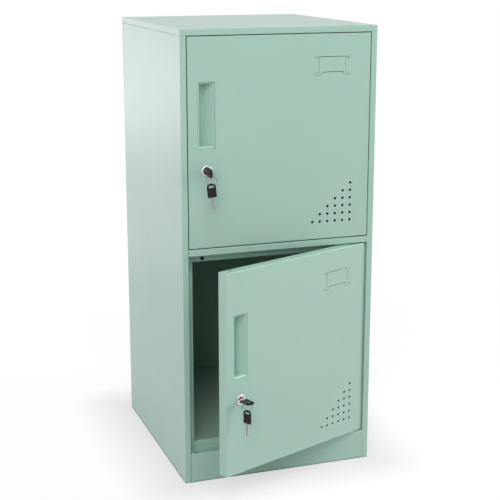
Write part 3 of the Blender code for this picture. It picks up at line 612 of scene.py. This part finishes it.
def key_blade_mesh(name):
    """The cut blade, with V notches down one edge and a milled groove down each face."""
    half = BLADE_WIDE / 2
    tang = KEY_STANDOFF + KEY_TANG - SEAM
    tip = KEY_STANDOFF - BLADE_LONG
    shoulder = tip + half
    narrow = half * BLADE_TIP_SHARE
    outline = [(-half, tang), (-half, shoulder), (-narrow, tip), (narrow, tip), (half, shoulder)]
    pitch = -shoulder / (len(BLADE_NOTCH_DEPTHS) + 1)
    for i, depth in enumerate(BLADE_NOTCH_DEPTHS):
        middle = shoulder + (i + BLADE_NOTCH_START_SHARE) * pitch
        run = pitch * BLADE_NOTCH_HALF_SHARE
        flat = run * BLADE_NOTCH_FLOOR_SHARE
        outline += [(half, middle - run), (half - depth, middle - flat)]
        outline += [(half - depth, middle + flat), (half, middle + run)]
    outline.append((half, tang))
    mesh = plate(name, outline, BLADE_THICK, BLADE_EDGE)
    outer, inner = (-half * share for share in BLADE_GROOVE_SHARES)
    for way in (1, -1):
        near, far = sorted((way * (BLADE_THICK / 2 - BLADE_GROOVE_DEPTH), way * BLADE_THICK))
        low = (outer, tip - half, near)
        mesh = carve(mesh, low, (inner, KEY_STANDOFF - BLADE_GROOVE_END, far))
    return mesh


def make_key(prefix, place, materials):
    """A key from the two CAD nodes with this prefix; its thickness runs along the place's X."""
    lay = place @ Matrix(((0, 0, 1, 0), (1, 0, 0, 0), (0, 1, 0, 0), (0, 0, 0, 1)))
    black = materials["black_plastic"]
    head = key_head_mesh(f"{prefix}_bow")
    stand_in(f"{prefix}_bow", head, lay, f"{prefix}_head", black)
    nickel = materials["nickel_key"]
    blade = key_blade_mesh(f"{prefix}_cut_blade")
    stand_in(f"{prefix}_cut_blade", blade, lay, f"{prefix}_blade", nickel)


def flat_wire():
    """The wire's outline as (outward, along the ring's axis): flat sides and round edges."""
    outline = []
    for outward, across in arc((0, 0), 1, 0, math.tau, WIRE_SIDES)[:-1]:
        outward = math.copysign(abs(outward) ** WIRE_SQUARENESS, outward)
        across = math.copysign(abs(across) ** WIRE_SQUARENESS, across)
        outline.append((outward * RING_WIRE_DEEP / 2, across * RING_WIRE_THIN / 2))
    return outline


def make_split_ring(side, place, materials):
    """Two turns of flat wire with a step between them, and a free end at each side of it."""
    outline = flat_wire()
    shape = bmesh.new()
    rings = []
    for i in range(2 * RING_STEPS + 1):
        turns = i / RING_STEPS
        if RING_STEP_SHARE <= turns <= 2 - RING_STEP_SHARE:
            rise = min(1, max(0, (turns - 1 + RING_STEP_SHARE) / (2 * RING_STEP_SHARE)))
            shift = (RING_WIRE_THIN + RING_COIL_GAP) * (rise * rise * (3 - 2 * rise) - 0.5)
            angle = math.tau * turns + RING_ENDS_AT
            ring = []
            for outward, across in outline:
                radius = RING_RADIUS + outward
                point = (radius * math.cos(angle), radius * math.sin(angle), shift + across)
                ring.append(shape.verts.new(point))
            rings.append(ring)
    for first, second in zip(rings, rings[1:]):
        for i in range(len(outline)):
            shape.faces.new((first[i - 1], first[i], second[i], second[i - 1]))
    for end in (rings[0], rings[-1]):
        shape.faces.new(end)
    name = f"{side}_split_ring"
    mesh = smooth_mesh(name, shape)
    stand_in(name, mesh, place, f"{side}_key_ring", materials["ring_steel"])


def make_key_set(side, materials):
    """The key in the lock, the ring in its hole and the spare key on the ring."""
    make_key(f"{side}_key", turned_frame(side), materials)
    out = -Vector(joint(f"{side}_lock_turn")["axis"])
    swing = door_frame(joint(f"{side}_ring_swing")["pos_m"], out)
    turned = swing @ Matrix.Rotation(RING_TURN[side], 4, "Y")
    make_split_ring(side, turned @ Matrix.Translation((0, -RING_RADIUS, 0)), materials)

    hang = door_frame(joint(f"{side}_spare_key_swing")["pos_m"], out)
    drop = RING_CAD_WIRE / 2 + RING_PLAY - KEY_HOLE_OUT - KEY_HOLE_TALL / 2
    lean = Matrix.Rotation(SPARE_TURN[side], 4, "Y") @ Matrix.Rotation(SPARE_LEAN[side], 4, "Z")
    upright = Matrix(((0, 1, 0, 0), (0, 0, 1, drop), (1, 0, 0, 0), (0, 0, 0, 1)))
    make_key(f"{side}_spare_key", hang @ lean @ upright, materials)


# Stage, lamps and camera

FLOOR_HALF = 6.0
FLOOR_DROP = 0.0005
FLOOR_BOUNCE = 0.60
FLOOR_SHADE = 0.25
# Painted shade on the floor: no glow under the locker's plan, and a dimmer glow for a short way
# round it.
PAINTED_SHADE_EDGE = 0.001
PAINTED_SHADE_RANGE = (0.0, 0.14)
PAINTED_SHADE_GLOW = (0.58, 0.79)
FADE_RANGE = (0.35, 1.2)
WORLD_FILL = 0.25
SOFTBOX = (1.8, 1.8)
BLUE_WHITE = (0.98, 0.90, 1.0)
PINK_WHITE = (1.0, 0.85, 1.0)
CAMERA_PLACE = (-0.817, -2.2918, 1.037)
CAMERA_YAW = math.radians(19.38)
CAMERA_PITCH = math.radians(13.96)
CAMERA_LENS = 86.3
CAMERA_SENSOR = 36


def distance_from_plan(tree):
    """How far a point of the floor lies outside the locker's plan, zero underneath it."""
    middle = (CARCASS_LOW + CARCASS_HIGH) / 2
    reach = (CARCASS_HIGH - CARCASS_LOW) / 2
    place = node(tree, "ShaderNodeTexCoord")
    shifted = node(tree, "ShaderNodeVectorMath", operation="SUBTRACT")
    shifted.inputs[1].default_value = (middle.x, middle.y, 0)
    link(tree, place.outputs["Object"], shifted.inputs[0])
    mirrored = node(tree, "ShaderNodeVectorMath", operation="ABSOLUTE")
    link(tree, shifted.outputs[0], mirrored.inputs[0])
    outside = node(tree, "ShaderNodeVectorMath", operation="SUBTRACT")
    outside.inputs[1].default_value = (reach.x, reach.y, 0)
    link(tree, mirrored.outputs[0], outside.inputs[0])
    cut = node(tree, "ShaderNodeVectorMath", operation="MAXIMUM")
    cut.inputs[1].default_value = (0, 0, 0)
    link(tree, outside.outputs[0], cut.inputs[0])
    distance = node(tree, "ShaderNodeVectorMath", operation="LENGTH")
    link(tree, cut.outputs[0], distance.inputs[0])
    return distance.outputs["Value"]


def shown_rays(tree):
    """One for camera, glossy and transmission rays, which all show the white backdrop."""
    path = node(tree, "ShaderNodeLightPath")
    first = node(tree, "ShaderNodeMath", operation="MAXIMUM")
    link(tree, path.outputs["Is Camera Ray"], first.inputs[0])
    link(tree, path.outputs["Is Glossy Ray"], first.inputs[1])
    both = node(tree, "ShaderNodeMath", operation="MAXIMUM")
    link(tree, first.outputs[0], both.inputs[0])
    link(tree, path.outputs["Is Transmission Ray"], both.inputs[1])
    return both.outputs[0]


def make_floor():
    """A white floor that holds the locker's shadow and runs out to plain white; its glow is cut
    under the locker and dimmed near it as painted shade, which the camera and mirrors both see.
    """
    half = FLOOR_HALF
    mesh = bpy.data.meshes.new("studio_floor")
    corners = [(-half, -half, 0), (half, -half, 0), (half, half, 0), (-half, half, 0)]
    mesh.from_pydata(corners, [], [(0, 1, 2, 3)])
    floor = bpy.data.objects.new("studio_floor", mesh)
    bpy.context.scene.collection.objects.link(floor)
    floor.location.z = -FLOOR_DROP

    material = bpy.data.materials.new("studio_floor")
    material.use_nodes = True
    tree = material.node_tree
    tree.nodes.clear()
    lit = node(tree, "ShaderNodeBsdfDiffuse", Color=(FLOOR_BOUNCE, FLOOR_BOUNCE, FLOOR_BOUNCE, 1))
    soft = node(tree, "ShaderNodeBsdfDiffuse", Color=(FLOOR_SHADE, FLOOR_SHADE, FLOOR_SHADE, 1))
    glow = node(tree, "ShaderNodeEmission", Color=(1, 1, 1, 1))
    white = node(tree, "ShaderNodeEmission", Color=(1, 1, 1, 1), Strength=1.0)
    seen = node(tree, "ShaderNodeAddShader")
    link(tree, soft.outputs[0], seen.inputs[0])
    link(tree, glow.outputs[0], seen.inputs[1])

    away = distance_from_plan(tree)
    # Painted shade: the glow is zero under the locker and rises from its edge outwards, a painted
    # contact shadow.
    painted_shade_under = spread(tree, away, 0, 1, 0, PAINTED_SHADE_EDGE)
    painted_contact_shade = node(tree, "ShaderNodeMath", operation="MULTIPLY")
    link(tree, painted_shade_under, painted_contact_shade.inputs[0])
    link(tree, spread(tree, away, *PAINTED_SHADE_GLOW, *PAINTED_SHADE_RANGE), painted_contact_shade.inputs[1])
    link(tree, painted_contact_shade.outputs[0], glow.inputs["Strength"])
    fade = node(tree, "ShaderNodeMixShader")
    link(tree, spread(tree, away, 0, 1, *FADE_RANGE), fade.inputs[0])
    link(tree, seen.outputs[0], fade.inputs[1])
    link(tree, white.outputs[0], fade.inputs[2])

    choice = node(tree, "ShaderNodeMixShader")
    link(tree, shown_rays(tree), choice.inputs[0])
    link(tree, lit.outputs[0], choice.inputs[1])
    link(tree, fade.outputs[0], choice.inputs[2])
    out = node(tree, "ShaderNodeOutputMaterial")
    link(tree, choice.outputs[0], out.inputs["Surface"])
    mesh.materials.append(material)


def make_world():
    """White where it is seen or mirrored, and a weaker fill for the light it gives."""
    world = bpy.data.worlds.new("studio")
    bpy.context.scene.world = world
    world.use_nodes = True
    tree = world.node_tree
    tree.nodes.clear()
    fill = node(tree, "ShaderNodeBackground", Color=(1, 1, 1, 1), Strength=WORLD_FILL)
    white = node(tree, "ShaderNodeBackground", Color=(1, 1, 1, 1), Strength=1.0)
    choice = node(tree, "ShaderNodeMixShader")
    link(tree, shown_rays(tree), choice.inputs[0])
    link(tree, fill.outputs[0], choice.inputs[1])
    link(tree, white.outputs[0], choice.inputs[2])
    out = node(tree, "ShaderNodeOutputWorld")
    link(tree, choice.outputs[0], out.inputs["Surface"])


def make_lamp(name, place, aim, size, power, colour=(1, 1, 1)):
    """A rectangular lamp that faces its aim and isn't seen by the camera."""
    data = bpy.data.lights.new(name, "AREA")
    data.shape = "RECTANGLE"
    data.size, data.size_y = size
    data.energy = power
    data.color = colour
    lamp = bpy.data.objects.new(name, data)
    bpy.context.scene.collection.objects.link(lamp)
    lamp.location = place
    lamp.rotation_euler = (Vector(aim) - Vector(place)).to_track_quat("-Z", "Y").to_euler()
    lamp.visible_camera = False


def make_lamps():
    """Soft light all round, and a pale wall and cards at the left that the left side mirrors."""
    middle = (0, 0, 0.5)
    make_lamp("left_softbox", (-2.0, -2.75, 2.0), middle, SOFTBOX, 32)
    make_lamp("right_softbox", (3.2, -1.0, 1.6), middle, SOFTBOX, 68)
    make_lamp("front_softbox", (-0.6, -1.9, 3.2), middle, SOFTBOX, 42)
    make_lamp("back_softbox", (2.0, 2.7, 0.45), middle, (1.8, 0.8), 30)
    high, card, low = (-0.2, 0.1, 0.7), (-0.2, 0.1, 0.55), (-0.2, 0.1, 0.35)
    make_lamp("left_wall", (-1.1, 2.2, 1.25), high, (1.6, 2.0), 13.5, BLUE_WHITE)
    make_lamp("left_card", (-0.62, 1.5, 0.38), card, (0.7, 0.7), 0.7, PINK_WHITE)
    make_lamp("left_low_card", (-1.7, 0.2, 0.40), low, (1.6, 0.7), 4.5, BLUE_WHITE)


def make_camera():
    """The photograph's viewpoint, aimed down at the middle of the locker."""
    data = bpy.data.cameras.new("camera")
    data.lens = CAMERA_LENS
    data.sensor_width = CAMERA_SENSOR
    camera = bpy.data.objects.new("camera", data)
    bpy.context.scene.collection.objects.link(camera)
    camera.location = CAMERA_PLACE
    camera.rotation_euler = (math.pi / 2 - CAMERA_PITCH, 0, -CAMERA_YAW)
    bpy.context.scene.camera = camera


bpy.context.scene.view_settings.view_transform = "Standard"
make_camera()
make_world()
make_lamps()
make_floor()
MATERIALS = make_materials()
dress_nodes(MATERIALS)
for lock_side in SIDES:
    make_lock_ring(lock_side, MATERIALS)
    make_lock_face(lock_side, MATERIALS)
    make_key_set(lock_side, MATERIALS)
